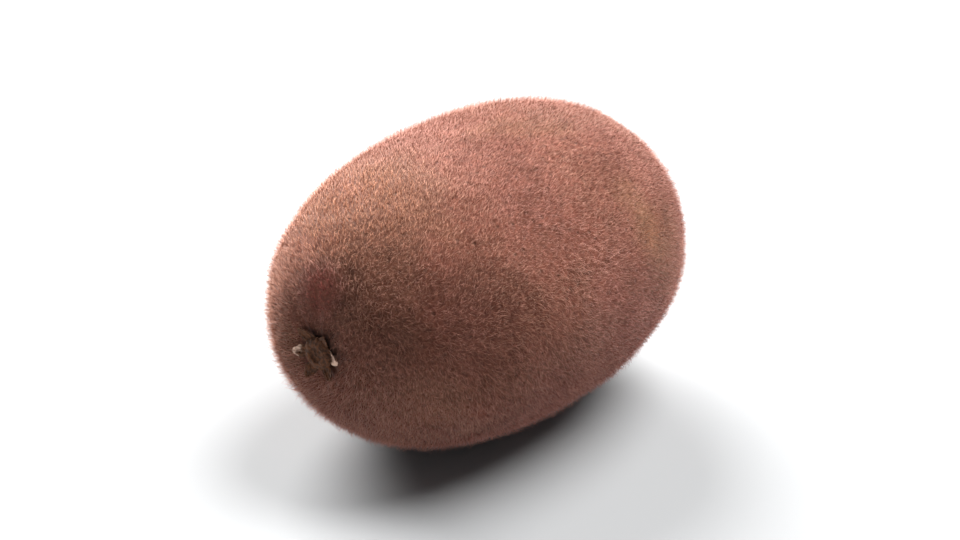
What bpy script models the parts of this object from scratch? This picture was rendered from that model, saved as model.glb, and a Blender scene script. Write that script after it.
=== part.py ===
"""A kiwi fruit lying on its side on a small flat spot, in metres with +Z up.

The long axis runs along X. The stem end, with its dried sepals, points to -X, and the blossom
end, with its dried styles, to +X. The origin is on the surface that the fruit lies on, under
the middle of its box.
"""

import math
import random

import bmesh
import bpy
import numpy as np
from mathutils import Matrix, Vector

# The fruit. Its length is between the tips that it would have without the hollows in its ends.
LENGTH = 0.072
WIDTH = 0.0498
HEIGHT = 0.0473
BLUNTNESS = 2.35  # exponent of the oval: 2 is an ellipse, and more is fuller towards the ends
TAPER = 0.018  # how much slimmer than the middle the stem end is, and fuller the blossom end
FLAT_SAG = 0.0005  # depth of the spot that the fruit's weight has pressed flat

# Swellings round the girth: share of the half width, waves round, waves along, phase.
SWELLINGS = ((0.008, 2, 0.5, 1.6), (0.006, 3, 0.8, 0.1), (0.0025, 5, 0.6, 3.0))

SEGMENTS = 64
RINGS = 44
RING_CROWDING = 0.24  # moves the rings towards the ends, where the hollows are

# The hollows in the two ends: depth, and radius at which a hollow has faded to a third.
STEM_HOLLOW = (0.0014, 0.0056)
BLOSSOM_HOLLOW = (0.0013, 0.0048)

CLEARANCE = 0.0003  # left between two pieces that touch
SEAT_MARGIN = 0.0001  # more clearance, for the fruit's own swellings
TURN_STEPS = 28  # sides of the turned woody pieces

# The calyx: a woody button with a round stalk scar, and the dried sepals round it.
BUTTON_RADIUS = 0.0027
BUTTON_HEIGHT = 0.0014
SCAR_RADIUS = 0.0013
SCAR_DEPTH = 0.0005
SEPALS = 6
SEPAL_START = math.radians(36)  # from upright to the first sepal, about the axis
SEPAL_LENGTH = 0.0035
SEPAL_WIDTH = 0.0026
SEPAL_THICKNESS = 0.0007
SEPAL_ROOT = 0.0012  # distance of a sepal's root from the axis, well inside the button
SEPAL_LIFT = (0.0003, 0.0011)  # least and most that a tip has curled up off the skin
SEPAL_SIZES = (0.85, 1.1)  # least and most share of that length and width
SEPAL_TAPER = (1.15, 0.65)  # share of the width at the root and at the tip
SEPAL_CUP = 0.0005  # how far the edges rise near the tip
SEPAL_BEND = 0.0004  # most that a tip is bent to one side
SEPAL_STRAY = 0.10  # most that a sepal stands out of its sixth of the ring, as a share of it
SEPAL_SIDES = 12

# The style tuft: a woody boss with the stubs of the dried styles.
BOSS_RADIUS = 0.0023
BOSS_HEIGHT = 0.0014
STYLES = 17
STYLE_LENGTH = (0.0014, 0.0021)
STYLE_RADIUS = 0.00034
STYLE_TIP_RADIUS = 0.00014
STYLE_SPREAD = 0.0016  # radius of the ring that the outermost styles stand in
STYLE_LEAN = (8, 64)  # degrees from the axis, for the innermost and the outermost
STYLE_ROOT = (0.75, 0.45)  # share of the boss's height, for the innermost and the outermost
STYLE_SUNK = 0.15  # share of a stub's length that is sunk in the boss
STYLE_STRAY = math.radians(11)
STYLE_SIDES = 5

GOLDEN_ANGLE = math.radians(137.508)

SKIN_COLOR = (0.300, 0.138, 0.086)
CALYX_COLOR = (0.095, 0.052, 0.026)
STYLES_COLOR = (0.062, 0.034, 0.018)


def clear_scene():
    """Removes every object of the opened scene."""
    for thing in list(bpy.data.objects):
        bpy.data.objects.remove(thing, do_unlink=True)


def plain_material(name, color, roughness):
    """A dry, non-metallic surface of one colour."""
    material = bpy.data.materials.new(name)
    material.use_nodes = True
    surface = material.node_tree.nodes["Principled BSDF"]
    surface.inputs["Base Color"].default_value = (*color, 1)
    surface.inputs["Roughness"].default_value = roughness
    surface.inputs["Metallic"].default_value = 0
    return material


def points_of(mesh):
    """The mesh's vertices as an array of rows."""
    flat = np.empty(len(mesh.vertices) * 3)
    mesh.vertices.foreach_get("co", flat)
    return flat.reshape(-1, 3)


def place_points(mesh, x, y, z):
    """Moves the mesh's vertices to these coordinates."""
    mesh.vertices.foreach_set("co", np.column_stack((x, y, z)).ravel())
    mesh.update()


def between(ends, share):
    """The value this share of the way from the first of two values to the second."""
    first, last = ends
    return first + (last - first) * share


def mesh_from(name, fill):
    """A mesh that the function fill makes in an empty bmesh."""
    shape = bmesh.new()
    fill(shape)
    mesh = bpy.data.meshes.new(name)
    shape.to_mesh(mesh)
    shape.free()
    return mesh


def smooth(mesh):
    """Shades the mesh smooth, with its real edges kept sharp."""
    mesh.shade_smooth()
    mesh.set_sharp_from_angle(angle=math.radians(50))


def skin_height(radius, hollow):
    """How far the skin of an end lies outside the tip that it would have with no hollow.

    radius is the distance from the long axis. The blunt oval falls away from its tip as the
    root, by BLUNTNESS, of 1 less the radius's share of the half width to that power. The
    hollow is a bell curve.
    """
    depth, reach = hollow
    half_width = (WIDTH + HEIGHT) / 4
    share = (radius / half_width) ** BLUNTNESS
    oval = LENGTH / 2 * ((1 - share) ** (1 / BLUNTNESS) - 1)
    return oval - depth * np.exp(-((radius / reach) ** 2))


def swelling(along, around, out):
    """The girth's factor at a point: gentle waves, fading to none at the ends."""
    waves = sum(
        size * np.sin(count * around + turns * along * math.pi + phase)
        for size, count, turns, phase in SWELLINGS
    )
    return 1 + TAPER * along + waves * out**2


def make_fruit():
    """The fruit: a sphere drawn out to a blunt oval, hollowed at both ends and flat below."""
    mesh = mesh_from(
        "fruit",
        lambda shape: bmesh.ops.create_uvsphere(
            shape, u_segments=SEGMENTS, v_segments=RINGS, radius=1
        ),
    )
    round_points = points_of(mesh)
    # The sphere's poles go on the long axis, and its rings closer to them.
    angle = np.arccos(np.clip(round_points[:, 2], -1, 1))
    angle = angle - RING_CROWDING * np.sin(2 * angle)
    around = np.arctan2(round_points[:, 1], round_points[:, 0])
    axial, radial = np.cos(angle), np.sin(angle)
    # Each point moves out along its ray to the blunt oval.
    reach = (np.abs(axial) ** BLUNTNESS + radial**BLUNTNESS) ** (-1 / BLUNTNESS)
    along, out = axial * reach, radial * reach
    girth = out * swelling(along, around, out)
    half_height = (HEIGHT + FLAT_SAG) / 2
    x = along * LENGTH / 2
    y = girth * np.cos(around) * WIDTH / 2
    z = girth * np.sin(around) * half_height
    for side, (depth, spread) in ((-1, STEM_HOLLOW), (1, BLOSSOM_HOLLOW)):
        bell = depth * np.exp(-((np.hypot(y, z) / spread) ** 2))
        x = np.where(along * side > 0, x - side * bell, x)
    lowest = z.min() + FLAT_SAG
    z = np.maximum(z, lowest) - lowest
    place_points(mesh, x, y, z)
    smooth(mesh)
    return bpy.data.objects.new("fruit", mesh), -lowest


def turned(name, profile):
    """A solid of revolution about Z, from a profile that starts and ends on the axis."""
    mesh = bpy.data.meshes.new(name)
    ends = [(i, i + 1) for i in range(len(profile) - 1)]
    mesh.from_pydata([(radius, 0, height) for radius, height in profile], ends, [])
    body = bpy.data.objects.new(name, mesh)
    screw = body.modifiers.new("turned", "SCREW")
    screw.axis = "Z"
    screw.steps = screw.render_steps = TURN_STEPS
    screw.use_merge_vertices = True
    screw.merge_threshold = 0.00002
    return body


def seat(radius, hollow):
    """The lowest height at this radius that clears the skin of a hollowed end."""
    return skin_height(radius, hollow) + CLEARANCE + SEAT_MARGIN


def button_profile():
    """The calyx's button: a ring round the sunken stalk scar, seated in the hollow."""
    top = seat(0, STEM_HOLLOW) + BUTTON_HEIGHT
    edge = BUTTON_RADIUS
    return (
        (0, top - SCAR_DEPTH),
        (SCAR_RADIUS * 0.75, top - SCAR_DEPTH * 0.8),
        (SCAR_RADIUS, top - SCAR_DEPTH * 0.1),
        (SCAR_RADIUS * 1.3, top),
        (edge * 0.86, top - BUTTON_HEIGHT * 0.22),
        (edge, top - BUTTON_HEIGHT * 0.5),
        (edge * 0.94, seat(edge, STEM_HOLLOW)),
        (edge * 0.5, seat(edge * 0.5, STEM_HOLLOW)),
        (0, seat(0, STEM_HOLLOW)),
    )


def boss_profile():
    """The style tuft's boss: a low dome seated in the hollow."""
    top = seat(0, BLOSSOM_HOLLOW) + BOSS_HEIGHT
    edge = BOSS_RADIUS
    return (
        (0, top),
        (edge * 0.4, top - BOSS_HEIGHT * 0.06),
        (edge * 0.75, top - BOSS_HEIGHT * 0.24),
        (edge * 0.96, top - BOSS_HEIGHT * 0.55),
        (edge, seat(edge, BLOSSOM_HOLLOW)),
        (edge * 0.5, seat(edge * 0.5, BLOSSOM_HOLLOW)),
        (0, seat(0, BLOSSOM_HOLLOW)),
    )


def make_sepal(index, draw):
    """One dried sepal: a flattened ball drawn out over the skin, its tip and edges curled up."""
    mesh = mesh_from(
        "sepal",
        lambda shape: bmesh.ops.create_uvsphere(
            shape, u_segments=SEPAL_SIDES, v_segments=SEPAL_SIDES, radius=1
        ),
    )
    length = SEPAL_LENGTH * draw.uniform(*SEPAL_SIZES)
    width = SEPAL_WIDTH * draw.uniform(*SEPAL_SIZES)
    lift = draw.uniform(*SEPAL_LIFT)
    bend = draw.uniform(-SEPAL_BEND, SEPAL_BEND)
    across, through, outward = points_of(mesh).T
    share = (outward + 1) / 2
    radius = SEPAL_ROOT + length * share
    sideways = width / 2 * across * between(SEPAL_TAPER, share) + bend * share**2
    curl = lift * share**2 + SEPAL_CUP * across**2 * share
    height = seat(radius, STEM_HOLLOW) + SEPAL_THICKNESS * (1 + through) / 2 + curl
    place_points(mesh, radius, sideways, height)
    sixth = index + draw.uniform(-SEPAL_STRAY, SEPAL_STRAY)
    around = SEPAL_START + sixth * math.tau / SEPALS
    mesh.transform(Matrix.Rotation(around, 4, "Z"))
    return bpy.data.objects.new(f"sepal_{index}", mesh)


def make_style(index, draw):
    """One dried style stub: a thin tapered rod that leans out from the boss."""
    share = math.sqrt((index + 0.5) / STYLES)
    length = draw.uniform(*STYLE_LENGTH)
    mesh = mesh_from(
        "style",
        lambda shape: bmesh.ops.create_cone(
            shape,
            cap_ends=True,
            segments=STYLE_SIDES,
            radius1=STYLE_RADIUS,
            radius2=STYLE_TIP_RADIUS,
            depth=length,
        ),
    )
    around = index * GOLDEN_ANGLE + draw.uniform(-STYLE_STRAY, STYLE_STRAY)
    root_height = seat(0, BLOSSOM_HOLLOW) + BOSS_HEIGHT * between(STYLE_ROOT, share)
    mesh.transform(
        Matrix.Rotation(around, 4, "Z")
        @ Matrix.Translation(Vector((STYLE_SPREAD * share, 0, root_height)))
        @ Matrix.Rotation(math.radians(between(STYLE_LEAN, share)), 4, "Y")
        @ Matrix.Translation(Vector((0, 0, length * (0.5 - STYLE_SUNK))))
    )
    return bpy.data.objects.new(f"style_{index}", mesh)


def fuse(body, shapes):
    """Joins the shapes to the body in one solid, and removes them."""
    scene = bpy.context.scene.collection
    group = bpy.data.collections.new("to_fuse")
    scene.children.link(group)
    scene.objects.link(body)
    for shape in shapes:
        group.objects.link(shape)
    union = body.modifiers.new("fused", "BOOLEAN")
    union.operation = "UNION"
    union.operand_type = "COLLECTION"
    union.collection = group
    bpy.context.view_layer.update()
    fused = bpy.data.meshes.new_from_object(
        body.evaluated_get(bpy.context.evaluated_depsgraph_get())
    )
    body.modifiers.clear()
    body.data = fused
    smooth(fused)
    for shape in shapes:
        bpy.data.objects.remove(shape, do_unlink=True)
    bpy.data.collections.remove(group)
    scene.objects.unlink(body)
    return body


def make_calyx():
    """The stem end's woody button and its dried sepals, built along +Z."""
    draw = random.Random(5)
    sepals = [make_sepal(index, draw) for index in range(SEPALS)]
    return fuse(turned("calyx", button_profile()), sepals)


def make_styles():
    """The blossom end's woody boss and its dried style stubs, built along +Z."""
    draw = random.Random(11)
    stubs = [make_style(index, draw) for index in range(STYLES)]
    return fuse(turned("styles", boss_profile()), stubs)


def put_on_end(piece, side, axis_height):
    """Turns a piece's +Z to the fruit's end, -1 for the stem and 1 for the blossom."""
    piece.rotation_euler = (0, side * math.pi / 2, 0)
    piece.location = (side * LENGTH / 2, 0, axis_height)


def centre_over_origin(pieces):
    """Moves all pieces alike, so that the middle of their box is over the origin."""
    bpy.context.view_layer.update()
    corners = np.vstack(
        [
            points_of(piece.data) @ np.array(piece.matrix_world.to_3x3()).T
            + np.array(piece.matrix_world.translation)
            for piece in pieces
        ]
    )
    middle = (corners.min(0) + corners.max(0)) / 2
    for piece in pieces:
        piece.location.x -= middle[0]
        piece.location.y -= middle[1]


def main():
    clear_scene()
    fruit, axis_height = make_fruit()
    calyx, styles = make_calyx(), make_styles()
    put_on_end(calyx, -1, axis_height)
    put_on_end(styles, 1, axis_height)
    fruit.data.materials.append(plain_material("skin", SKIN_COLOR, 0.9))
    calyx.data.materials.append(plain_material("dried_calyx", CALYX_COLOR, 0.8))
    styles.data.materials.append(plain_material("dried_styles", STYLES_COLOR, 0.85))
    parts = bpy.data.collections.new("kiwi_fruit")
    bpy.context.scene.collection.children.link(parts)
    for piece in (fruit, calyx, styles):
        parts.objects.link(piece)
    centre_over_origin((fruit, calyx, styles))


if __name__ == "__main__":
    main()
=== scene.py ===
"""Dresses a packed kiwi fruit: its brown skin, the fuzz on it, and the dried remains at its ends.

The long axis runs along X, with the stem end at -X and the blossom end at +X. Sizes are in
metres. Every new surface is worked out as whole arrays, in the form that the solids have.
"""

import itertools
import math
import random

import bpy
import numpy as np
from bpy.props import FloatProperty, FloatVectorProperty, IntProperty, PointerProperty
from bpy.types import Operator, Panel, PropertyGroup
from mathutils import Matrix, Vector


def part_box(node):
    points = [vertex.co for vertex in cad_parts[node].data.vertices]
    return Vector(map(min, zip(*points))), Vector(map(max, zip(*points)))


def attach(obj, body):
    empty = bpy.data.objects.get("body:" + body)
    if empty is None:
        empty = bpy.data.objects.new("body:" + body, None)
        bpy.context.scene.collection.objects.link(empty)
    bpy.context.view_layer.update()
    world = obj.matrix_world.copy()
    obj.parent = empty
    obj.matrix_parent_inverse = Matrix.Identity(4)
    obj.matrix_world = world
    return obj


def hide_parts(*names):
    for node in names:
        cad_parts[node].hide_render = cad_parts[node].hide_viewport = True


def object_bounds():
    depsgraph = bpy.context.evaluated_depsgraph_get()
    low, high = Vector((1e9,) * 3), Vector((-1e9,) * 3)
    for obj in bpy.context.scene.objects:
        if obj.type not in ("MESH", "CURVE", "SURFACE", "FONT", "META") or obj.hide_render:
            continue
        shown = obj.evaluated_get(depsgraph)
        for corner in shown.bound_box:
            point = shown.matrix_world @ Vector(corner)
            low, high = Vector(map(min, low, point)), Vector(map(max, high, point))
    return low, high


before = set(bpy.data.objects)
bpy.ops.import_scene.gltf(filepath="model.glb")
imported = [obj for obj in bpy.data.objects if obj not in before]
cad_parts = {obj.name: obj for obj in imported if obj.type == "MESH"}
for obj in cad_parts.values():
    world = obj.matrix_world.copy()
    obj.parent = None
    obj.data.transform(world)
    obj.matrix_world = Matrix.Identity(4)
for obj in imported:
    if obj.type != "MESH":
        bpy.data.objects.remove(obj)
SOLID_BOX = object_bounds()

bl_info = {
    "name": "Kiwi Fruit",
    "version": (1, 0, 0),
    "blender": (4, 5, 0),
    "location": "3D View > Sidebar > Kiwi Fruit",
    "description": "Skin, fuzz and dried ends for a packed kiwi fruit",
    "category": "Object",
}

# Swellings round the girth: share of the half width, waves round, waves along, phase.
SWELLINGS = ((0.008, 2, 0.5, 1.6), (0.006, 3, 0.8, 0.1), (0.0025, 5, 0.6, 3.0))
GOLDEN_ANGLE = math.radians(137.508)
CLEARANCE = 0.0004  # between the skin and the woody pieces seated on it
LATTICE = 48  # corners along each side of the noise's block, which then repeats
SLANT = np.array(Matrix.Rotation(math.radians(50), 3, Vector((1, 2, 3))))  # of the noise's cubes
RING_CROWDING = 0.2  # moves the skin's rings towards the ends, where the hollows are
BOX_GRID = (90, 128)  # rings and steps that are enough to find the fruit's box

# The folds that run into each end: the radius where they are deepest and how far they reach
# from it, and for each wave its count round the end, its height and its share of the stray.
FOLD_RING = (0.0052, 0.0030)
FOLD_WAVES = ((11, 1.0, 1.0), (19, 0.6, -1.6))
FOLD_STRAY = 2.2  # radians
FOOT_FADE = 0.003  # height above the flat spot from which the skin's relief is whole

# Distances between two patches, mottles and the like, in the skin's colours.
PATCH_SIZE = 0.016
RUB_SIZE = 0.021
MOTTLE_SIZE = 0.0034
FLECK_SIZE = 0.0006
CRACKLE_SIZE = 0.00045

# Marks on the skin: place, and how far from it the mark has faded out.
MARK_CORE = 0.25  # share of that distance within which a mark is whole
BLUSH = ((-0.0341, 0.0007, 0.0329), 0.0058)  # wine red, above the stem end
GINGER_PATCH = ((-0.0240, 0.0020, 0.0420), 0.0170)  # above the blush
GOLDEN_SPOT = ((0.0141, -0.0218, 0.0322), 0.0060)  # rubbed, with shorter hairs
PALE_PATCH = ((-0.0045, -0.0212, 0.0355), 0.0140)  # paler hairs
STEM_SHADE = ((-0.0355, -0.0015, 0.0243), 0.0062)  # dark round the stem end's button
SPOTS_AND_PAINTED_SHADOWS = (  # small dark spots by the blush, and two broad painted shadows on the flank
    ((-0.0316, -0.0028, 0.0365), 0.0016),
    ((-0.0324, -0.0047, 0.0351), 0.0018),
    ((-0.0340, -0.0038, 0.0325), 0.0020),
    ((-0.0325, -0.0122, 0.0276), 0.0070),
    ((-0.0215, -0.0200, 0.0290), 0.0150),
)

# Towards the side that the lamps light squarely, which is painted darker and browner as shade, and
# between which measures that way it sets in.
PAINTED_SHADE_SIDE = (18.0, 42.0, -10.0)
PAINTED_SHADE_FADE = (0.10, 0.50)

# The lights: name, degrees round from the camera, degrees up, and strength.
LIGHTS = (("low_key", -150, 32, 10.0), ("high_key", 122, 57, 6.6))
LIGHT_COLOR = (1.0, 0.985, 0.955)
SOFTNESS = math.radians(47)  # how wide each light looks from the fruit

# The backdrop's strength goes from the first to the last as its height goes from low to high.
BACKDROP_HEIGHTS = (0.05, 0.35)
BACKDROP_STRENGTHS = (0.9, 0.08)
BACKDROP_COLOR = (0.97, 0.98, 1.0)
FLOOR_EDGE = 60.0  # from the middle of the floor to its edge

SEPAL_ROOT = 0.0012  # from the axis, well inside the button
SEPAL_BLEACH = (0.30, 1.0, 0.25, 0.35, 1.6, 0.25)  # how far down from its tip each has paled
SEPAL_GRID = (44, 52)  # rings along a sepal and steps round it
SEPAL_SIZES = (0.85, 1.1)  # least and most share of a sepal's length and width
SEPAL_LIFT = (0.0003, 0.0011)  # least and most that a tip curls up
SEPAL_BEND = 0.0004  # most that a tip bends to one side
SEPAL_STRAY = 0.10  # most that one stands out of its sixth of the ring, in sixths
SEPAL_CUP = 0.0005  # how far the edges rise near the tip
SEPAL_RIB = 0.00008  # height of the ribs
SEPAL_CRUMPLE = 0.0002  # height of the crumpling at the tip

STYLE_STOPS = 10  # points along a style
STYLE_SIDES = 7
TUBE_SIDEWAYS = (0.31, 0.87, 0.12)  # no style runs this way
STYLE_LENGTH = (0.0014, 0.0021)
STYLE_STRAY = math.radians(11)
STYLE_LEAN = (8, 64)  # degrees from the axis, for the innermost and the outermost
STYLE_ROOT = (0.75, 0.45)  # share of the boss's height, for the same two
WISP_LENGTH = (0.0012, 0.0027)
WISP_LEAN = (5, 66)
WISP_STRAY = 12  # degrees
WISP_GIRTH = (0.35, 0.65)  # as a share of a style's
STYLE_DROOP, WISP_DROOP = 0.5, (-0.5, 1.2)  # radians

# How the hairs grow.
AREA_RINGS = 1500  # where the skin's area is measured, to spread them evenly
AREA_STRAY = 0.004  # share of the whole area
TURN_STRAY = 0.03  # radians
COMBED = 2.6  # radians round from the way along the fruit
COMB_WINDING = 1.5  # radians that it winds by over the fruit
COMB_STRAY = 0.8  # radians
HAIR_SIZES = (0.55, 1.25)  # least and most share of the middling length
HAIR_GIRTHS = (0.7, 1.2)  # least and most share of the thickness
HAIR_TAPER = 0.68  # share of its radius that a hair keeps from ring to ring
BARE_AT_STEM, BARE_AT_BLOSSOM = 0.0040, 0.0023  # radius with no hairs under the dried pieces
FLOOR_GAP = 0.00008  # least height of a hair

# The fuzz's map: hue in rows up it, tone across it, and root to tip up each row.
HAIR_MAP = "OFBake"
HUES = 12
HAIR_MAP_WIDTH = 0.004  # of one hair
DARKEST, LIGHTEST = (0.50, 0.38, 0.33), (1.50, 1.63, 1.72)  # of a hair's colour, by its tone
ROW_START, ROW_SPAN = 0.15, 0.7  # where a hair's root is in its row, and its tip from there


def metres(name, description, default):
    """A size in metres."""
    return FloatProperty(
        name=name, description=description, default=default,
        min=0, precision=5, subtype="DISTANCE", unit="LENGTH",
    )


def number(name, description, default, highest=1.0):
    """A number with no unit, such as a share."""
    return FloatProperty(
        name=name, description=description, default=default, min=0, max=highest, precision=3
    )


def degrees(name, description, default):
    """An angle, given in degrees."""
    return FloatProperty(
        name=name, description=description, default=math.radians(default), subtype="ANGLE"
    )


def rgb(name, description, default):
    """A colour, in linear values."""
    return FloatVectorProperty(
        name=name, description=description, default=default, size=3, min=0, max=1, subtype="COLOR"
    )


def how_many(name, description, default, least=1):
    """A whole number."""
    return IntProperty(name=name, description=description, default=default, min=least)


class KiwiForm(PropertyGroup):
    """The form of the fruit, as its solid has it."""

    length: metres("Length", "Between the tips, if they weren't hollowed", 0.072)
    width: metres("Width", "Across the fruit, lying", 0.0498)
    height: metres("Height", "From the surface it lies on", 0.0473)
    bluntness: number("Bluntness", "2 is an ellipse, more is fuller", 2.35, 6.0)
    taper: number("Taper", "How much fuller the blossom end is", 0.018)
    flat_sag: metres("Flat Spot Depth", "How deep its weight pressed it", 0.0005)
    stem_depth: metres("Stem Hollow Depth", "At the stem end", 0.0014)
    stem_reach: metres("Stem Hollow Reach", "Radius where it has faded", 0.0056)
    blossom_depth: metres("Blossom Hollow Depth", "At the blossom end", 0.0013)
    blossom_reach: metres("Blossom Hollow Reach", "Radius where it has faded", 0.0048)


class KiwiSkin(PropertyGroup):
    """The skin under the fuzz."""

    rings: how_many("Rings", "Rows of faces along the fruit", 260, 8)
    steps: how_many("Steps", "Faces round the fruit", 300, 8)
    dents: metres("Dents", "Height of the broad, soft unevenness", 0.00016)
    dent_size: metres("Dent Size", "Distance between two dents", 0.0085)
    bumps: metres("Bumps", "Height of the small unevenness", 0.00005)
    bump_size: metres("Bump Size", "Distance between two bumps", 0.0019)
    pucker: metres("Pucker", "Height of the folds into each end", 0.00010)
    brown: rgb("Brown", "Most of the skin", (0.178, 0.072, 0.044))
    russet: rgb("Russet", "Redder patches", (0.210, 0.068, 0.043))
    # Umber also paints the shade round the stem end's button, in the ends' hollows and on the far
    # side, and the painted shadows on the flank.
    umber: rgb("Umber", "Dark mottles and pores", (0.070, 0.027, 0.016))
    ochre: rgb("Ochre", "Golden, rubbed patches", (0.245, 0.122, 0.060))
    pore_spacing: metres("Pore Spacing", "Between two pores of the skin", 0.0016)


class KiwiFuzz(PropertyGroup):
    """The hairs on the skin."""

    straight_hairs: how_many("Straight Hairs", "In each straight piece", 48000)
    bent_hairs: how_many("Bent Hairs", "In each bent piece", 19000)
    length: metres("Hair Length", "Of a middling straight hair", 0.0011)
    bent_length: metres("Bent Hair Length", "Of a middling bent hair", 0.0018)
    thickness: metres("Hair Thickness", "At the root", 0.00006)
    least_lean: degrees("Least Lean", "Of a straight hair from upright", 20)
    most_lean: degrees("Most Lean", "Of a straight hair from upright", 58)
    rise: degrees("Rise", "How much more upright a bent hair starts", 12)
    bend: degrees("Bend", "How much further it leans past its middle", 44)
    golden: rgb("Golden", "Tips of the yellowest hairs", (0.680, 0.322, 0.180))
    tan: rgb("Tan", "Tips of the browner hairs", (0.625, 0.328, 0.232))
    rose: rgb("Rose", "Tips of the redder hairs", (0.620, 0.310, 0.247))
    wine: rgb("Wine", "Tips of the reddest hairs", (0.500, 0.125, 0.100))
    # The darker root is partly the hairs' own colour and partly painted shade deep in the fuzz.
    root_tint: rgb("Root Tint", "Share of its tip's colour", (0.440, 0.310, 0.275))


class KiwiCalyx(PropertyGroup):
    """The woody button and dried sepals at the stem end."""

    button_radius: metres("Button Radius", "Of the woody button", 0.0027)
    button_height: metres("Button Height", "Above the hollow", 0.0014)
    scar_radius: metres("Scar Radius", "Of the stalk's scar", 0.0013)
    scar_depth: metres("Scar Depth", "Below the button's rim", 0.0005)
    sepals: how_many("Sepals", "Dried sepals round the button", 6)
    sepal_start: degrees("First Sepal", "From upright, about the axis", 36)
    sepal_length: metres("Sepal Length", "From root to tip", 0.0035)
    sepal_width: metres("Sepal Width", "At its widest", 0.0026)
    sepal_thickness: metres("Sepal Thickness", "Of the dried blade", 0.0005)
    bark: rgb("Bark", "Dry, woody brown", (0.125, 0.050, 0.024))
    shade: rgb("Shade", "In the folds", (0.026, 0.012, 0.007))
    pale: rgb("Pale", "Bleached tips and edges", (0.620, 0.425, 0.330))


class KiwiStyles(PropertyGroup):
    """The woody boss and dried styles at the blossom end."""

    boss_radius: metres("Boss Radius", "Of the woody boss", 0.0023)
    boss_height: metres("Boss Height", "Above the hollow", 0.0014)
    styles: how_many("Styles", "Thick stubs on the boss", 17)
    wisps: how_many("Wisps", "Thin broken styles between the stubs", 52)
    radius: metres("Style Radius", "At the root", 0.00025)
    spread: metres("Spread", "Radius of the outermost ring", 0.0016)
    bark: rgb("Bark", "Dry, woody brown", (0.092, 0.042, 0.024))
    shade: rgb("Shade", "In the folds", (0.018, 0.009, 0.006))
    pale: rgb("Pale", "Greyed tips", (0.155, 0.088, 0.055))


class KiwiStage(PropertyGroup):
    """The floor, the lights and the camera."""

    floor: rgb("Floor", "Plain and pale", (0.340, 0.350, 0.366))
    azimuth: degrees("Camera Azimuth", "0 looks along +Y", -48)
    elevation: degrees("Camera Elevation", "Above the horizon", 27.5)
    distance: metres("Camera Distance", "From the fruit's middle", 0.56)
    lens: number("Lens", "Focal length in millimetres", 135.0, 500.0)


class KiwiSettings(PropertyGroup):
    """All that a user may change."""

    form: PointerProperty(type=KiwiForm)
    skin: PointerProperty(type=KiwiSkin)
    fuzz: PointerProperty(type=KiwiFuzz)
    calyx: PointerProperty(type=KiwiCalyx)
    styles: PointerProperty(type=KiwiStyles)
    stage: PointerProperty(type=KiwiStage)


def between(first, last, share):
    """The value this share of the way from the first to the last."""
    return first + (last - first) * share


def ease(share):
    """0 below 0, 1 above 1, and 3 t^2 - 2 t^3 between."""
    share = np.clip(share, 0, 1)
    return share * share * (3 - 2 * share)


def unit(vectors):
    """The vectors, each divided by its length."""
    return vectors / np.linalg.norm(vectors, axis=-1, keepdims=True)


def noise(points, size, seed):
    """Smooth noise, mostly from -1 to 1, at the points.

    Random slopes stand on the corners of cubes of this size, and each gives a height that
    grows away from its corner. The heights are blended across each cube by 3 t^2 - 2 t^3 of
    the distance along each of its sides. The cubes stand at a slant to the fruit.
    """
    slopes = np.random.default_rng(seed).normal(0, 1, (LATTICE, LATTICE, LATTICE, 3))
    cell, part = np.divmod(points @ SLANT / size, 1)
    cell, share = cell.astype(int), ease(part)
    total = np.zeros(points.shape[:-1])
    for corner in itertools.product((0, 1), repeat=3):
        weight = np.prod(np.where(corner, share, 1 - share), axis=-1)
        x, y, z = np.moveaxis((cell + corner) % LATTICE, -1, 0)
        total += weight * (slopes[x, y, z] * (part - corner)).sum(-1)
    return total


def closed_rings(rings, first, last):
    """Points and faces of a surface through rings of points, closed at two end points.

    rings is an array of rings by steps by three. Quads run from ring to ring, and a fan of
    triangles from each end point to its ring.
    """
    count, steps = rings.shape[:2]
    points = np.vstack((rings.reshape(-1, 3), first, last))
    here = np.arange(count * steps).reshape(count, steps)
    beside = np.roll(here, -1, axis=1)
    quads = np.stack((here[:-1], here[1:], beside[1:], beside[:-1]), -1).reshape(-1, 4)
    start, end = np.full(steps, count * steps), np.full(steps, count * steps + 1)
    fans = (np.stack((start, here[0], beside[0]), -1), np.stack((end, beside[-1], here[-1]), -1))
    return points, [quads, np.vstack(fans)]


def joined(shapes):
    """The points and faces of several shapes as those of one."""
    points = np.vstack([own for own, _ in shapes])
    starts = np.cumsum([0] + [len(own) for own, _ in shapes])
    faces = [each + start for (_, own), start in zip(shapes, starts) for each in own]
    return points, faces


def placed(name, data):
    """An object of this data, in the scene."""
    made = bpy.data.objects.new(name, data)
    bpy.context.scene.collection.objects.link(made)
    return made


def mesh_object(name, points, faces, face_map=None, tip=None):
    """A smooth-shaded object of these points and faces, in the scene.

    faces is a list of arrays, of three or four corners a row. face_map holds a place on the
    hairs' map for each corner in turn, and tip how bleached or near a tip each point is.
    """
    corners = np.concatenate([each.ravel() for each in faces])
    counts = np.concatenate([np.full(len(each), each.shape[1]) for each in faces])
    mesh = bpy.data.meshes.new(name)
    mesh.vertices.add(len(points))
    mesh.vertices.foreach_set("co", points.ravel())
    mesh.loops.add(len(corners))
    mesh.loops.foreach_set("vertex_index", corners)
    mesh.polygons.add(len(counts))
    mesh.polygons.foreach_set("loop_start", np.cumsum(counts) - counts)
    mesh.update(calc_edges=True)
    if face_map is not None:
        mesh.uv_layers.new(name=HAIR_MAP).data.foreach_set("uv", face_map.ravel())
    if tip is not None:
        mesh.attributes.new("tip", "FLOAT", "POINT").data.foreach_set("value", tip)
    mesh.shade_smooth()
    return placed(name, mesh)


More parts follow.
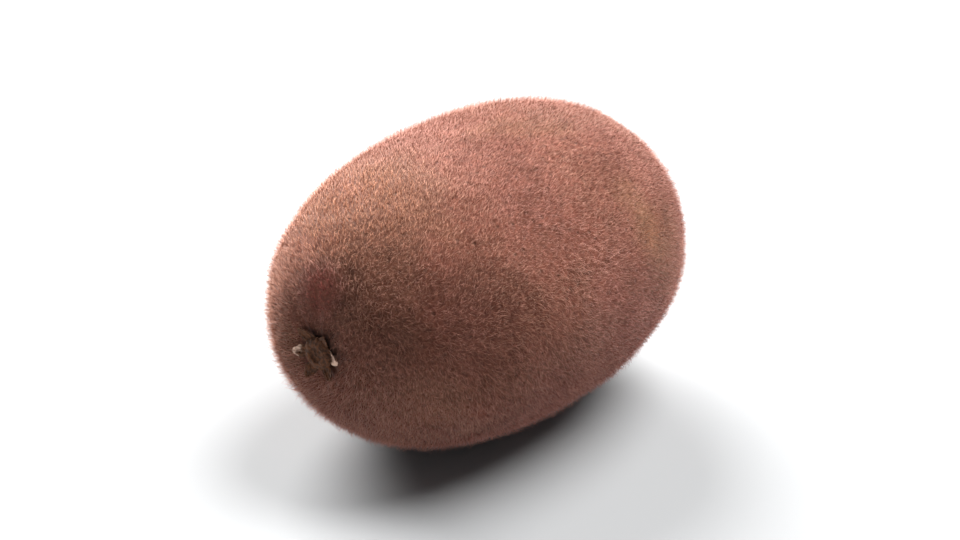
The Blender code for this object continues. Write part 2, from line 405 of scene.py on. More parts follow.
class Fruit:
    """The fruit's surface, standing where its solid stands.

    angle is measured from the blossom end and around is measured about the long axis.
    """

    def __init__(self, kiwi):
        self.form, self.texture = kiwi.form, kiwi.skin
        rounded = self.rounded(*self.grid(*BOX_GRID))
        self.lowest = rounded[..., 2].min() + kiwi.form.flat_sag
        low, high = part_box("fruit")
        middle = (np.array(low) + np.array(high)) / 2
        own = (rounded.min((0, 1)) + rounded.max((0, 1))) / 2
        self.shift = np.array((middle[0] - own[0], middle[1] - own[1], -self.lowest))

    def grid(self, rings, steps):
        """Angles of rings between the two ends, closer together near them, and of their steps."""
        angle = np.linspace(0, math.pi, rings + 2)[1:-1]
        angle = angle - RING_CROWDING * np.sin(2 * angle)
        around = np.arange(steps) * math.tau / steps
        return angle[:, None], around[None, :]

    def rounded(self, angle, around):
        """The fruit before its underside is flattened.

        Along each ray the blunt oval is where the axial part and the radial part, each to the
        power of the bluntness, add up to 1. Sine waves swell its girth, and a bell curve
        hollows each end.
        """
        form, power = self.form, self.form.bluntness
        axial, radial = np.cos(angle), np.sin(angle)
        reach = (np.abs(axial) ** power + radial**power) ** (-1 / power)
        along, out = axial * reach, radial * reach
        waves = sum(
            size * np.sin(count * around + turns * along * math.pi + phase)
            for size, count, turns, phase in SWELLINGS
        )
        girth = out * (1 + form.taper * along + waves * out**2)
        y = girth * np.cos(around) * form.width / 2
        z = girth * np.sin(around) * (form.height + form.flat_sag) / 2
        x = along * form.length / 2 + 0 * around
        away = np.hypot(y, z)
        x = x - (along > 0) * form.blossom_depth * np.exp(-((away / form.blossom_reach) ** 2))
        x = x + (along < 0) * form.stem_depth * np.exp(-((away / form.stem_reach) ** 2))
        return np.stack((x, y, z), -1)

    def smooth(self, angle, around):
        """Points of the fruit as the solid has it."""
        points = self.rounded(angle, around)
        points[..., 2] = np.maximum(points[..., 2], self.lowest)
        return points + self.shift

    def tangents(self, angle, around, step):
        """How far the smooth fruit's points move along it and round it, over two steps."""
        along = self.smooth(angle + step, around) - self.smooth(angle - step, around)
        across = self.smooth(angle, around + step) - self.smooth(angle, around - step)
        return along, across

    def slopes(self, angle, around):
        """Unit vectors of the smooth fruit: out of it, and along it from the blossom end."""
        least = 0.01
        angle = np.clip(angle, least, math.pi - least)
        along, across = self.tangents(angle, around, 0.001)
        return unit(np.cross(along, across)), unit(along)

    def off_axis(self, points):
        """The points' distances from the long axis."""
        return np.hypot(points[..., 1] - self.shift[1], points[..., 2] - self.shift[2])

    def skin(self, angle, around):
        """Points of the skin: the smooth fruit, moved outwards by broad dents, small bumps
        and, near the two ends, folds that run in towards them. The flat spot stays flat."""
        texture = self.texture
        points = self.smooth(angle, around)
        outward, _ = self.slopes(angle, around)
        dents = noise(points, texture.dent_size, 3) + 0.5 * noise(points, texture.dent_size / 2, 4)
        bumps = noise(points, texture.bump_size, 5) + 0.6 * noise(points, texture.bump_size / 2, 6)
        middle, reach = FOLD_RING
        ring = np.exp(-(((self.off_axis(points) - middle) / reach) ** 2))
        stray = FOLD_STRAY * noise(points, 0.006, 7)
        folds = sum(
            height * np.cos(count * around + share * stray) for count, height, share in FOLD_WAVES
        )
        height = texture.dents * dents + texture.bumps * bumps + texture.pucker * folds * ring
        points = points + outward * (height * ease(points[..., 2] / FOOT_FADE))[..., None]
        points[..., 2] = np.maximum(points[..., 2], 0)
        return points

    def on_end(self, points, side):
        """Points built about a vertical axis, turned to the stem end (-1) or blossom end (1)."""
        x, y, z = np.moveaxis(points, -1, 0)
        turned = np.stack((side * z, y, -side * x), -1)
        return turned + self.shift + (side * self.form.length / 2, 0, 0)

    def seat(self, radius, side):
        """The least height, out from the unhollowed tip, at which a piece clears the skin.

        The blunt oval falls from its tip as the root, by the bluntness, of 1 less the
        radius's share of the half width to that power. The hollow is a bell curve.
        """
        form = self.form
        depth, reach = form.stem_depth, form.stem_reach
        if side > 0:
            depth, reach = form.blossom_depth, form.blossom_reach
        share = (radius / ((form.width + form.height) / 4)) ** form.bluntness
        oval = form.length / 2 * ((1 - share) ** (1 / form.bluntness) - 1)
        return oval - depth * np.exp(-((radius / reach) ** 2)) + CLEARANCE


class Amount:
    """A shader socket that Python's operators work on, by adding Math nodes."""

    def __init__(self, looks, socket):
        self.looks, self.socket = looks, socket

    def worked(self, operation, *values):
        return self.looks.add("ShaderNodeMath", {"operation": operation}, dict(enumerate(values)))

    def __add__(self, other):
        return self.worked("ADD", self, other)

    def __sub__(self, other):
        return self.worked("SUBTRACT", self, other)

    def __rsub__(self, other):
        return self.worked("SUBTRACT", other, self)

    def __mul__(self, other):
        return self.worked("MULTIPLY", self, other)

    __radd__ = __add__
    __rmul__ = __mul__

    def part(self):
        """What is left of it above a whole number."""
        return self.worked("FRACT", self)

    def whole(self):
        """The whole number below it."""
        return self.worked("FLOOR", self)

    def size(self):
        """It without its sign."""
        return self.worked("ABSOLUTE", self)


class Looks:
    """The nodes of a material or a world, with the one method that adds them."""

    def __init__(self, owner, shader):
        owner.use_nodes = True
        self.tree = owner.node_tree
        self.shader = self.tree.nodes[shader]

    def give(self, socket, value):
        """Links a socket to an amount, or sets it to a value."""
        if isinstance(value, Amount):
            self.tree.links.new(value.socket, socket)
        elif hasattr(value, "__len__") and socket.type == "RGBA":
            socket.default_value = (*value, 1)
        else:
            socket.default_value = value

    def add(self, kind, settings, values, output=0):
        """Adds a node of this kind, makes its settings, gives its sockets their values or
        links, and returns an output."""
        node = self.tree.nodes.new(kind)
        for name, value in settings.items():
            setattr(node, name, value)
        for socket, value in values.items():
            self.give(node.inputs[socket], value)
        return Amount(self, node.outputs[output])

    def set(self, **sockets):
        """Gives the surface shader's sockets these values or links."""
        for name, value in sockets.items():
            self.give(self.shader.inputs[name.replace("_", " ")], value)

    def parts_of(self, vector):
        """The three numbers of a vector."""
        return [self.add("ShaderNodeSeparateXYZ", {}, {0: vector}, each) for each in range(3)]

    def band(self, amount, low, high, first=0, last=1):
        """Eases from the first number to the last as the amount goes from low to high."""
        values = dict(enumerate((amount, low, high, first, last)))
        return self.add("ShaderNodeMapRange", {"interpolation_type": "SMOOTHSTEP"}, values)


class Finish(Looks):
    """A material."""

    def __init__(self, name, roughness=0.8, **uniform):
        self.material = bpy.data.materials.new(name)
        super().__init__(self.material, "Principled BSDF")
        self.set(Roughness=roughness, **uniform)

    def places(self):
        """The object's own coordinates."""
        return self.add("ShaderNodeTexCoord", {}, {}, "Object")

    def grain(self, size, seed, detail=2.0):
        """Noise of this size, about 0.5."""
        values = {"Vector": self.places(), "W": seed, "Scale": 1 / size, "Detail": detail}
        return self.add("ShaderNodeTexNoise", {"noise_dimensions": "4D"}, values)

    def pores(self, spacing):
        """Distance to the nearest of points strewn this far apart, in shares of that."""
        values = {"Vector": self.places(), "Scale": 1 / spacing}
        return self.add("ShaderNodeTexVoronoi", {}, values)

    def mixed(self, first, last, share):
        """The colour this share of the way from the first to the last."""
        return self.add("ShaderNodeMix", {"data_type": "RGBA"}, {0: share, 6: first, 7: last}, 2)

    def vectors(self, operation, first, second, output=0):
        """What Vector Math makes of two vectors or colours."""
        values = {0: first, 1: second}
        return self.add("ShaderNodeVectorMath", {"operation": operation}, values, output)

    def tinted(self, color, tint):
        """A colour times another, or times an amount."""
        return self.vectors("MULTIPLY", color, tint)

    def near(self, mark):
        """1 at a mark's place, easing to 0 where the mark has faded."""
        place, reach = mark
        distance = self.vectors("DISTANCE", self.places(), place, 1)
        return 1 - self.band(distance, MARK_CORE * reach, reach)

    def raised(self, height, distance):
        """A normal for a surface raised by the height, this far where it is 1."""
        return self.add("ShaderNodeBump", {}, {"Distance": distance, "Height": height})


def skin_finish(skin, form):
    """Dry brown skin: mottled brown and russet, golden where rubbed, with small dark pores and a
    fine crackle. It is darker with painted shade in the ends' hollows, round the stem end's button
    and on the far side that the lamps light squarely, and with painted shadows on the flank."""
    finish = Finish("kiwi_skin", Sheen_Weight=0.10, Sheen_Roughness=0.5, Specular_IOR_Level=0.20)
    along, _, _ = finish.parts_of(finish.places())
    patches = finish.band(finish.grain(PATCH_SIZE, 1.0), 0.42, 0.62)
    mottles = finish.band(finish.grain(MOTTLE_SIZE, 2.0, 4.0), 0.38, 0.68)
    rubbed = finish.band(finish.grain(RUB_SIZE, 3.0), 0.60, 0.72)
    flecks = finish.band(finish.grain(FLECK_SIZE, 4.0, 3.0), 0.35, 0.70)
    pores = 1 - finish.band(finish.pores(skin.pore_spacing), 0.10, 0.26)
    # Painted shade in the ends' hollows, and on the far side that the lamps light squarely.
    ends = finish.band(along.size(), form.length * 0.40, form.length * 0.49)
    far = finish.band(finish.vectors("DOT_PRODUCT", finish.places(), PAINTED_SHADE_SIDE, 1), *PAINTED_SHADE_FADE)
    # Umber darkens the real mottles, pores and dark spots, and paints shade round the stem end's
    # button, in the ends' hollows, on the far side, and the shadows on the flank.
    darker = [finish.near(spot_or_shadow) * 0.5 for spot_or_shadow in SPOTS_AND_PAINTED_SHADOWS]
    darker += [mottles * 0.45, pores * 0.7, ends * 0.45, finish.near(STEM_SHADE) * 0.7, far * 0.35]
    color = finish.mixed(skin.brown, skin.russet, patches)
    color = finish.mixed(color, skin.russet, finish.near(BLUSH) * 0.8)
    color = finish.mixed(color, skin.ochre, rubbed * 0.5 + finish.near(GOLDEN_SPOT) * 0.4)
    for share in darker:
        color = finish.mixed(color, skin.umber, share)
    color = finish.tinted(color, 0.8 + flecks * 0.4)
    crackle = finish.grain(CRACKLE_SIZE, 5.0, 3.0)
    normal = finish.raised(crackle * 0.6 + mottles * 0.4 - pores * 0.5, 0.00012)
    finish.set(Base_Color=color, Roughness=0.72 + mottles * 0.2, Normal=normal)
    return finish.material


def hair_finish(fuzz):
    """Hair that pales from root to tip, its darker root partly its own colour and partly painted
    shade deep in the fuzz. Its map gives the hue in rows up it, the tone across it, and root to tip up
    each row."""
    finish = Finish("kiwi_hair", roughness=0.62, Specular_IOR_Level=0.22)
    places = finish.add("ShaderNodeUVMap", {"uv_map": HAIR_MAP}, {})
    tone, up, _ = finish.parts_of(places)
    rows = up * HUES
    hue = rows.whole() * (3 / (HUES - 1))
    color = finish.mixed(fuzz.golden, fuzz.tan, finish.band(hue, 0, 1))
    color = finish.mixed(color, fuzz.rose, finish.band(hue, 1, 2))
    color = finish.mixed(color, fuzz.wine, finish.band(hue, 2, 3))
    tip = finish.band(rows.part(), ROW_START, ROW_START + ROW_SPAN)
    # The root tint is partly the hairs' own colour and partly painted shade deep in the fuzz.
    color = finish.tinted(color, finish.mixed(fuzz.root_tint, (1, 1, 1), tip))
    finish.set(Base_Color=finish.tinted(color, finish.mixed(DARKEST, LIGHTEST, tone)))
    return finish.material


def dry_finish(name, colors, grain_size):
    """Dry woody tissue: fibrous brown with dark folds, bleached towards its tips."""
    finish = Finish(name, Specular_IOR_Level=0.18)
    tips = finish.add("ShaderNodeAttribute", {"attribute_name": "tip"}, {}, "Fac")
    fibres = finish.band(finish.grain(grain_size, 1.0, 4.0), 0.35, 0.68)
    spots = finish.band(finish.grain(grain_size * 2, 2.0, 3.0), 0.36, 0.66)
    color = finish.mixed(colors.shade, colors.bark, 0.25 + fibres * 0.75)
    bleached = tips * (0.35 + spots * 0.9)
    color = finish.mixed(color, colors.pale, finish.band(bleached, 0.25, 1.05))
    normal = finish.raised(fibres + spots * 0.5, 0.00007)
    finish.set(Base_Color=color, Roughness=0.66 + fibres * 0.25, Normal=normal)
    return finish.material


def near(points, mark):
    """1 at a mark's place, easing to 0 where the mark has faded."""
    place, reach = mark
    away = np.linalg.norm(points - place, axis=-1) / reach
    return 1 - ease((away - MARK_CORE) / (1 - MARK_CORE))


def hair_places(fruit, count, draw):
    """Angles of hairs spread evenly over the skin.

    They stand where the skin's area from the blossom end reaches equal shares, and each is
    turned by the golden angle from the one before, with a little stray both ways.
    """
    step = 0.0005
    angle = np.linspace(step, math.pi - step, AREA_RINGS)[:, None]
    along, across = fruit.tangents(angle, np.arange(0, 6.28, 0.1), step)
    area = np.cumsum(np.linalg.norm(np.cross(along, across), axis=-1).sum(1))
    index = np.arange(count)
    share = (index + 0.5) / count + draw.uniform(-AREA_STRAY, AREA_STRAY, count)
    share = np.clip(share, 0, 1)
    turned = index * GOLDEN_ANGLE + draw.uniform(-TURN_STRAY, TURN_STRAY, count)
    return np.interp(share, area / area[-1], angle[:, 0]), turned


def hair_paths(fruit, fuzz, count, bend, seed):
    """Paths of hairs from root to tip, and each hair's tone and hue from 0 to 1.

    A hair leans from the skin's normal towards a direction that winds slowly over the fruit,
    and a bent one leans further past its middle. It is longer near the two ends, and
    shorter where the skin is rubbed.
    """
    draw = np.random.default_rng(seed)
    angle, around = hair_places(fruit, count, draw)
    roots = fruit.skin(angle, around)
    outward, along = fruit.slopes(angle, around)
    sideways = np.cross(outward, along)
    winding = COMB_WINDING * noise(roots, 0.020, 21) + 0.4 * noise(roots, 0.006, 22)
    heading = COMBED + winding + draw.normal(0, COMB_STRAY, count)
    towards = along * np.cos(heading)[:, None] + sideways * np.sin(heading)[:, None]
    lean = draw.uniform(fuzz.least_lean, fuzz.most_lean, count) + 0.15 * noise(roots, 0.006, 23)
    lean = lean - bend * fuzz.rise
    reach = np.abs(roots[:, 0]) / (fruit.form.length / 2)
    rubbed = ease((noise(roots, 0.012, 24) - 0.25) / 0.5)
    rubbed = np.maximum(rubbed, near(roots, GOLDEN_SPOT))
    middling = fuzz.bent_length if bend else fuzz.length
    length = middling * draw.uniform(*HAIR_SIZES, count) * (1 + 0.15 * noise(roots, 0.005, 25))
    length *= (1 + 0.35 * ease((reach - 0.82) / 0.15)) * (1 - 0.40 * rubbed)
    leans = (lean, lean + fuzz.bend)[: 1 + bend]
    path = [roots - outward * fuzz.thickness]
    for each in leans:
        way = outward * np.cos(each)[:, None] + towards * np.sin(each)[:, None]
        path.append(path[-1] + way * (length / len(leans))[:, None])
    path = np.stack(path, 1)
    tone, hue = hair_colors(fruit, roots, reach, draw)
    keep = kept_hairs(fruit, roots, path)
    return path[keep], tone[keep], hue[keep]


def hair_colors(fruit, roots, reach, draw):
    """Each hair's tone and hue, from 0 to 1.

    Both are noise, with a little stray from hair to hair. The tone falls at the two ends as
    painted shade in their hollows, round the stem end's button as painted shade, in the dark
    spots and the painted shadows, and rises in the pale one. The hue rises in the blush and
    towards the underside, as painted reddish bounced light in its shade, and falls in the golden
    marks. The far side, which the lamps light squarely, is painted darker and browner as shade.
    """
    count = len(roots)
    tone = 0.52 + 0.17 * noise(roots, 0.010, 26) + 0.12 * noise(roots, 0.0025, 27)
    # The tone falls towards the two ends as painted shade in their hollows.
    tone = tone + draw.normal(0, 0.10, count) - 0.10 * ease((reach - 0.86) / 0.12)
    tone = tone - 0.26 * near(roots, STEM_SHADE) + 0.28 * near(roots, PALE_PATCH)
    # The far side, which the lamps light squarely, is painted darker and browner as shade.
    start, end = PAINTED_SHADE_FADE
    far = ease((roots @ PAINTED_SHADE_SIDE - start) / (end - start))
    # The small dark spots by the blush, and the painted shadows on the flank, lower the tone.
    for spot_or_shadow in SPOTS_AND_PAINTED_SHADOWS:
        tone = tone - 0.19 * near(roots, spot_or_shadow)
    tone = tone - 0.30 * far
    hue = 0.5 + 0.16 * noise(roots, 0.015, 28) + draw.normal(0, 0.05, count)
    hue = hue + 0.10 * roots[:, 0] / (fruit.form.length / 2) + 0.6 * near(roots, BLUSH)
    hue = hue - 0.30 * near(roots, GINGER_PATCH) - 0.30 * near(roots, GOLDEN_SPOT)
    # Redder towards the underside: painted reddish bounced light in its shade.
    hue = hue + 0.18 * ease(1 - roots[:, 2] / (fruit.form.height * 0.75)) - 0.25 * far
    return np.clip(tone, 0.01, 0.99), np.clip(hue, 0, 0.999)


def kept_hairs(fruit, roots, path):
    """Which hairs grow: none under the woody pieces, and none that would touch the floor."""
    bare = np.where(roots[:, 0] < 0, BARE_AT_STEM, BARE_AT_BLOSSOM)
    return (fruit.off_axis(roots) > bare) & (path[..., 2].min(1) > FLOOR_GAP)


def circles(axes, sideways, steps):
    """Unit vectors round each axis and square to it: the cosine times one direction, which is
    square to sideways too, and the sine times the one square to that."""
    side = unit(np.cross(axes, sideways))
    around = (np.arange(steps) * math.tau / steps)[:, None]
    return np.cos(around) * side[:, None] + np.sin(around) * np.cross(axes, side)[:, None]


def hair_piece(name, path, thickness, tone, hue, draw):
    """Three-sided hairs along the paths, each closed at its root and drawn to a point.

    A ring of three corners stands round each point of a path but the last, square to the
    hair's first stretch, and its radius falls by a third from ring to ring.
    """
    hairs, stops = path.shape[:2]
    axis = unit(path[:, 1] - path[:, 0])
    ring = circles(axis, unit(draw.normal(0, 1, (hairs, 3))), 3)
    radius = thickness / 2 * draw.uniform(*HAIR_GIRTHS, hairs)[:, None, None]
    rings = [path[:, stop, None] + ring * radius * HAIR_TAPER**stop for stop in range(stops - 1)]
    points = np.concatenate([*rings, path[:, -1:]], 1)
    ups = np.linspace(0, 1, stops)
    last = 3 * (stops - 2)
    sides = ((0, 1), (1, 2), (2, 0))
    # Each face's corners, and where on the map they are: across it, and up from root to tip.
    threes = [((0, 2, 1), ((-1, 0), (1, 0), (0, -0.1)))]
    threes += [
        ((last + i, last + j, last + 3), ((-1, ups[-2]), (1, ups[-2]), (0, 1))) for i, j in sides
    ]
    fours = [
        (
            (3 * k + i, 3 * k + j, 3 * k + 3 + j, 3 * k + 3 + i),
            ((-1, ups[k]), (1, ups[k]), (1, ups[k + 1]), (-1, ups[k + 1])),
        )
        for k in range(stops - 2)
        for i, j in sides
    ]
    row = np.floor(hue * HUES)
    faces, places = [], []
    for pattern in filter(None, (threes, fours)):
        corners = np.array([corner for corner, _ in pattern])
        spots = np.array([spot for _, spot in pattern], float)
        starts = np.arange(hairs)[:, None, None] * points.shape[1]
        faces.append((starts + corners).reshape(-1, corners.shape[1]))
        across = tone[:, None, None] * (1 - HAIR_MAP_WIDTH * 2)
        across = across + HAIR_MAP_WIDTH * (1 + spots[..., 0] / 2)
        up = (row[:, None, None] + ROW_START + ROW_SPAN * spots[..., 1]) / HUES
        places.append(np.stack((across, up), -1).reshape(-1, 2))
    return mesh_object(name, points.reshape(-1, 3), faces, np.vstack(places))


def rounded_profile(profile, count):
    """Points evenly spaced along a profile, with its corners softened by averaging
    neighbours three times. The first and last stay on the axis."""
    profile = np.array(profile)
    run = np.append(0, np.cumsum(np.linalg.norm(np.diff(profile, axis=0), axis=1)))
    at = np.linspace(0, run[-1], count)
    points = np.stack([np.interp(at, run, profile[:, each]) for each in (0, 1)], -1)
    for _ in range(3):
        points[1:-1] = (points[:-2] + 2 * points[1:-1] + points[2:]) / 4
    return points


def turned(profile, steps, crease, creases, roughness, seed):
    """A solid of revolution with radial creases round its rim and a rough skin.

    The radius changes by cosines of the angle, times the square of its share of the widest
    one, and noise moves each point up or down, but for the foot.
    """
    around = np.arange(steps) * math.tau / steps
    inner = profile[1:-1]
    radius, height = inner[:, :1], inner[:, 1:]
    share = radius / radius.max()
    wave = np.cos(creases * around + 0.9 * np.sin(3 * around))
    wave = wave + 0.5 * np.cos((creases * 2 - 1) * around + 1.0)
    radius = radius * (1 + crease * wave * share**2)
    rings = np.stack((radius * np.cos(around), radius * np.sin(around), height + 0 * around), -1)
    top, bottom = (np.array((0, 0, profile[each, 1])) for each in (0, -1))
    uneven = noise(rings, 0.0007, seed) + 0.6 * noise(rings, 0.0003, seed + 1)
    above = ease((rings[..., 2] - bottom[2]) / 0.0006)
    rings[..., 2] += roughness * uneven * above
    return closed_rings(rings, top, bottom)


def button(fruit, calyx):
    """The calyx's button: a ring round the sunken stalk scar, seated in the hollow."""
    edge, rise = calyx.button_radius, calyx.button_height
    scar, sunk = calyx.scar_radius, calyx.scar_depth
    top = fruit.seat(0, -1) + rise
    outline = (
        (0, top - sunk),
        (scar * 0.25, top - sunk * 0.7),
        (scar * 0.45, top - sunk),
        (scar * 0.75, top - sunk * 0.9),
        (scar, top - sunk * 0.1),
        (scar * 1.3, top),
        (edge * 0.86, top - rise * 0.22),
        (edge, top - rise * 0.5),
        (edge * 0.94, fruit.seat(edge, -1)),
        (edge * 0.5, fruit.seat(edge * 0.5, -1)),
        (0, fruit.seat(0, -1)),
    )
    return turned(rounded_profile(outline, 70), 120, 0.035, 13, 0.00010, 41)


def sepal(fruit, calyx, index, draw):
    """One dried sepal, and how far each of its points has bleached.

    A unit ball's across, through and outward become the blade's width, thickness and
    length. The tip and the edges curl up by squares of those, ribs are cosines of across,
    and noise tears the outline and crumples the blade, more so towards its tip.
    """
    length = calyx.sepal_length * draw.uniform(*SEPAL_SIZES)
    width = calyx.sepal_width * draw.uniform(*SEPAL_SIZES)
    lift = draw.uniform(*SEPAL_LIFT)
    bend = draw.uniform(-SEPAL_BEND, SEPAL_BEND)
    sixth = index + draw.uniform(-SEPAL_STRAY, SEPAL_STRAY)
    turn = calyx.sepal_start + sixth * math.tau / calyx.sepals

    def blade(across, through, outward):
        share = (outward + 1) / 2
        at = np.stack((across, 0 * across + index * 3, outward), -1)
        torn, crumple = noise(at, 0.33, 45), noise(at, 0.5, 43) + 0.6 * noise(at, 0.22, 44)
        width_here = width * between(1.15, 0.65, share) * (1 + 0.30 * torn * share)
        sideways = width_here / 2 * across + bend * share**2
        radius = SEPAL_ROOT + length * share * (1 + 0.08 * noise(at, 0.28, 46) * share)
        curl = lift * share**2 + SEPAL_CUP * across**2 * share
        ribs = SEPAL_RIB * np.cos(across * math.pi * 3.5) * np.sin(share * math.pi)
        seat = fruit.seat(radius, -1)
        thickness = calyx.sepal_thickness * (1 - 0.4 * share)
        raised = curl + ribs + SEPAL_CRUMPLE * crumple * share
        height = seat + thickness * (1 + through) / 2 + raised
        return np.stack((radius, sideways, np.maximum(height, seat)), -1)

    rings, steps = SEPAL_GRID
    angle = np.linspace(0, math.pi, rings + 2)[1:-1, None]
    around = np.arange(steps) * math.tau / steps
    across, outward = np.sin(angle) * np.cos(around), np.cos(angle) + 0 * around
    middle = np.zeros(1)
    ends = [blade(middle, middle, middle + end)[0] for end in (1, -1)]
    points, faces = closed_rings(blade(across, np.sin(angle) * np.sin(around), outward), *ends)
    share = (outward + 1) / 2
    bleach = ease((share - 0.30) / 0.5) + 0.6 * across**4 * share
    bleach = np.append(bleach.ravel(), (1, 0)) * SEPAL_BLEACH[index % len(SEPAL_BLEACH)]
    return points @ np.array(Matrix.Rotation(turn, 3, "Z")).T, faces, bleach


def tube(path, radii):
    """A closed tube along a path from its root to its tip, with these radii at its points."""
    axis = unit(np.gradient(path, axis=0))
    rings = path[:, None] + circles(axis, TUBE_SIDEWAYS, STYLE_SIDES) * radii[:, None, None]
    return closed_rings(rings[::-1], path[-1] + axis[-1] * radii[-1] * 0.5, path[0])


def boss(fruit, styles):
    """The style tuft's boss: a low dome seated in the hollow."""
    edge, rise = styles.boss_radius, styles.boss_height
    top = fruit.seat(0, 1) + rise
    outline = (
        (0, top),
        (edge * 0.4, top - rise * 0.06),
        (edge * 0.75, top - rise * 0.24),
        (edge * 0.96, top - rise * 0.55),
        (edge, fruit.seat(edge, 1)),
        (edge * 0.5, fruit.seat(edge * 0.5, 1)),
        (0, fruit.seat(0, 1)),
    )
    return turned(rounded_profile(outline, 60), 96, 0.05, 11, 0.00014, 51)


def style(fruit, styles, share, length, radius, around, lean, droop):
    """One dried style, and how near its tip each of its points is, from 0 to 1.

    It is a tapering tube that leans out from the boss and bends on by its droop. The lean
    grows from root to tip, and the path adds up its steps.
    """
    up = np.linspace(0, 1, STYLE_STOPS)
    bent = lean + droop * (up - 0.3)
    step = np.stack((np.sin(bent), 0.22 * np.sin(up * 5 + around * 7), np.cos(bent)), -1)
    path = np.cumsum(step, axis=0) * length / STYLE_STOPS
    root = fruit.seat(0, 1) + styles.boss_height * between(*STYLE_ROOT, share)
    path = path - path[0] - step[0] * length * 0.15 + (styles.spread * share, 0, root)
    radii = radius * between(1.0, 0.45, up) * (1 + 0.18 * np.sin(up * 11 + around * 5))
    swing = np.array(Matrix.Rotation(around, 3, "Z"))
    tip = np.append(np.repeat(up[::-1], STYLE_SIDES), (1, 0))
    return tube(path @ swing.T, radii), tip


class KIWI_OT_skin(Operator):
    """Makes the skin, which stands for the fruit's solid"""

    bl_idname = "kiwi.skin"
    bl_label = "Skin"

    def execute(self, context):
        kiwi = context.scene.kiwi
        fruit = Fruit(kiwi)
        angle, around = fruit.grid(kiwi.skin.rings, kiwi.skin.steps)
        ends = [fruit.skin(np.array([end]), np.array([0.0]))[0] for end in (0.0, math.pi)]
        skin = mesh_object("skin", *closed_rings(fruit.skin(angle, around), *ends))
        skin.data.materials.append(skin_finish(kiwi.skin, kiwi.form))
        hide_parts("fruit")
        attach(skin, "root")
        return {"FINISHED"}


class KIWI_OT_fuzz(Operator):
    """Makes the hairs on the skin, in pieces of straight hairs and of bent hairs"""

    bl_idname = "kiwi.fuzz"
    bl_label = "Fuzz"

    def execute(self, context):
        kiwi = context.scene.kiwi
        fuzz, fruit = kiwi.fuzz, Fruit(kiwi)
        material = hair_finish(fuzz)
        for index in range(4):
            bend = index % 2
            count = fuzz.bent_hairs if bend else fuzz.straight_hairs
            path, tone, hue = hair_paths(fruit, fuzz, count, bend, 100 + index)
            name = f"fuzz_{'bent' if bend else 'straight'}_{1 + index // 2}"
            draw = np.random.default_rng(200 + index)
            piece = hair_piece(name, path, fuzz.thickness, tone, hue, draw)
            piece.data.materials.append(material)
            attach(piece, "root")
        return {"FINISHED"}


class KIWI_OT_calyx(Operator):
    """Makes the woody button and the dried sepals of the stem end"""

    bl_idname = "kiwi.calyx"
    bl_label = "Calyx"

    def execute(self, context):
        kiwi = context.scene.kiwi
        calyx, fruit = kiwi.calyx, Fruit(kiwi)
        draw = random.Random(5)
        middle = button(fruit, calyx)
        sepals = [sepal(fruit, calyx, index, draw) for index in range(calyx.sepals)]
        points, faces = joined([middle, *((own, sides) for own, sides, _ in sepals)])
        rim = np.hypot(middle[0][:, 0], middle[0][:, 1]) / calyx.button_radius
        tip = np.concatenate([0.25 * ease(rim * 2 - 1), *(own for _, _, own in sepals)])
        piece = mesh_object("calyx_remains", fruit.on_end(points, -1), faces, tip=tip)
        piece.data.materials.append(dry_finish("kiwi_calyx", calyx, 0.0005))
        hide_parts("calyx")
        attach(piece, "root")
        return {"FINISHED"}


class KIWI_OT_styles(Operator):
    """Makes the woody boss and the dried styles of the blossom end"""

    bl_idname = "kiwi.styles"
    bl_label = "Styles"

    def execute(self, context):
        kiwi = context.scene.kiwi
        styles, fruit = kiwi.styles, Fruit(kiwi)
        draw = random.Random(11)
        middle = boss(fruit, styles)
        stubs = []
        for index in range(styles.styles):
            share = math.sqrt((index + 0.5) / styles.styles)
            length = draw.uniform(*STYLE_LENGTH)
            around = index * GOLDEN_ANGLE + draw.uniform(-STYLE_STRAY, STYLE_STRAY)
            lean = math.radians(between(*STYLE_LEAN, share))
            stubs.append(style(fruit, styles, share, length, styles.radius, around, lean, STYLE_DROOP))
        for index in range(styles.wisps):
            share = math.sqrt(draw.uniform(0.05, 1))
            length, around = draw.uniform(*WISP_LENGTH), draw.uniform(0, math.tau)
            stray = draw.uniform(-WISP_STRAY, WISP_STRAY)
            lean = math.radians(between(*WISP_LEAN, share) + stray)
            radius, droop = styles.radius * draw.uniform(*WISP_GIRTH), draw.uniform(*WISP_DROOP)
            stubs.append(style(fruit, styles, share, length, radius, around, lean, droop))
        points, faces = joined([middle, *(stub for stub, _ in stubs)])
        tip = np.concatenate([np.zeros(len(middle[0])), *(own for _, own in stubs)])
        piece = mesh_object("style_tuft", fruit.on_end(points, 1), faces, tip=tip)
        piece.data.materials.append(dry_finish("kiwi_styles", styles, 0.0004))
        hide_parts("styles")
        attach(piece, "root")
        return {"FINISHED"}


def towards(azimuth, elevation):
    """The direction from the fruit to this azimuth and elevation. Azimuth 0 is -Y."""
    level = math.cos(elevation)
    return Vector((math.sin(azimuth) * level, -math.cos(azimuth) * level, math.sin(elevation)))


def soft_light(name, direction, strength):
    """Light from afar in a direction, as soft as from a large box that hangs near."""
    light = bpy.data.lights.new(name, "SUN")
    light.angle, light.energy, light.color = SOFTNESS, strength, LIGHT_COLOR
    lamp = placed(name, light)
    lamp.rotation_euler = direction.to_track_quat("Z", "Y").to_euler()


def studio_world():
    """A pale backdrop up to the horizon, which eases to a dim studio above it."""
    world = bpy.data.worlds.new("studio")
    room = Looks(world, "Background")
    direction = room.add("ShaderNodeTexCoord", {}, {}, "Generated")
    _, _, height = room.parts_of(direction)
    strength = room.band(height, *BACKDROP_HEIGHTS, *BACKDROP_STRENGTHS)
    room.set(Color=BACKDROP_COLOR, Strength=strength)
    return world


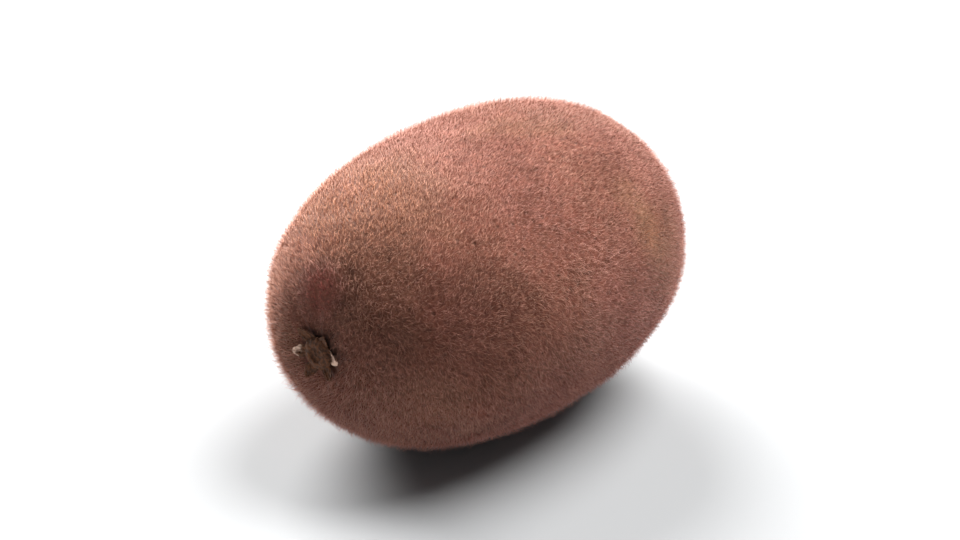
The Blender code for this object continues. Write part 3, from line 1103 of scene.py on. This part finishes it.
class KIWI_OT_stage(Operator):
    """Makes the floor, the lights and the camera"""

    bl_idname = "kiwi.stage"
    bl_label = "Stage"

    def execute(self, context):
        scene, stage = context.scene, context.scene.kiwi.stage
        low, high = SOLID_BOX
        aim = (low + high) / 2
        corners = np.array(((-1, -1, 0), (1, -1, 0), (1, 1, 0), (-1, 1, 0))) * FLOOR_EDGE
        floor = mesh_object("floor", corners, [np.array(((0, 1, 2, 3),))])
        finish = Finish("pale_floor", roughness=0.9)
        finish.set(Base_Color=stage.floor)
        floor.data.materials.append(finish.material)

        for name, azimuth, elevation, strength in LIGHTS:
            direction = towards(stage.azimuth + math.radians(azimuth), math.radians(elevation))
            soft_light(name, direction, strength)
        scene.world = studio_world()
        scene.view_settings.view_transform = "Standard"

        camera = placed("camera", bpy.data.cameras.new("camera"))
        camera.data.lens = stage.lens
        camera.data.clip_start, camera.data.clip_end = 0.01, 20
        back = towards(stage.azimuth, stage.elevation)
        camera.location = aim + back * stage.distance
        camera.rotation_euler = back.to_track_quat("Z", "Y").to_euler()
        scene.camera = camera
        return {"FINISHED"}


PIECES = (KIWI_OT_skin, KIWI_OT_fuzz, KIWI_OT_calyx, KIWI_OT_styles, KIWI_OT_stage)


class KIWI_PT_panel(Panel):
    """Lists the pieces of the kiwi fruit"""

    bl_idname = "KIWI_PT_panel"
    bl_label = "Kiwi Fruit"
    bl_space_type = "VIEW_3D"
    bl_region_type = "UI"
    bl_category = "Kiwi Fruit"

    def draw(self, context):
        for piece in PIECES:
            self.layout.operator(piece.bl_idname)


GROUPS = (KiwiForm, KiwiSkin, KiwiFuzz, KiwiCalyx, KiwiStyles, KiwiStage, KiwiSettings)
CLASSES = (*GROUPS, *PIECES, KIWI_PT_panel)


def register():
    for each in CLASSES:
        bpy.utils.register_class(each)
    bpy.types.Scene.kiwi = PointerProperty(type=KiwiSettings)


def unregister():
    del bpy.types.Scene.kiwi
    for each in reversed(CLASSES):
        bpy.utils.unregister_class(each)


def main():
    register()
    bpy.ops.kiwi.skin()
    bpy.ops.kiwi.fuzz()
    bpy.ops.kiwi.calyx()
    bpy.ops.kiwi.styles()
    bpy.ops.kiwi.stage()


if __name__ == "__main__":
    main()
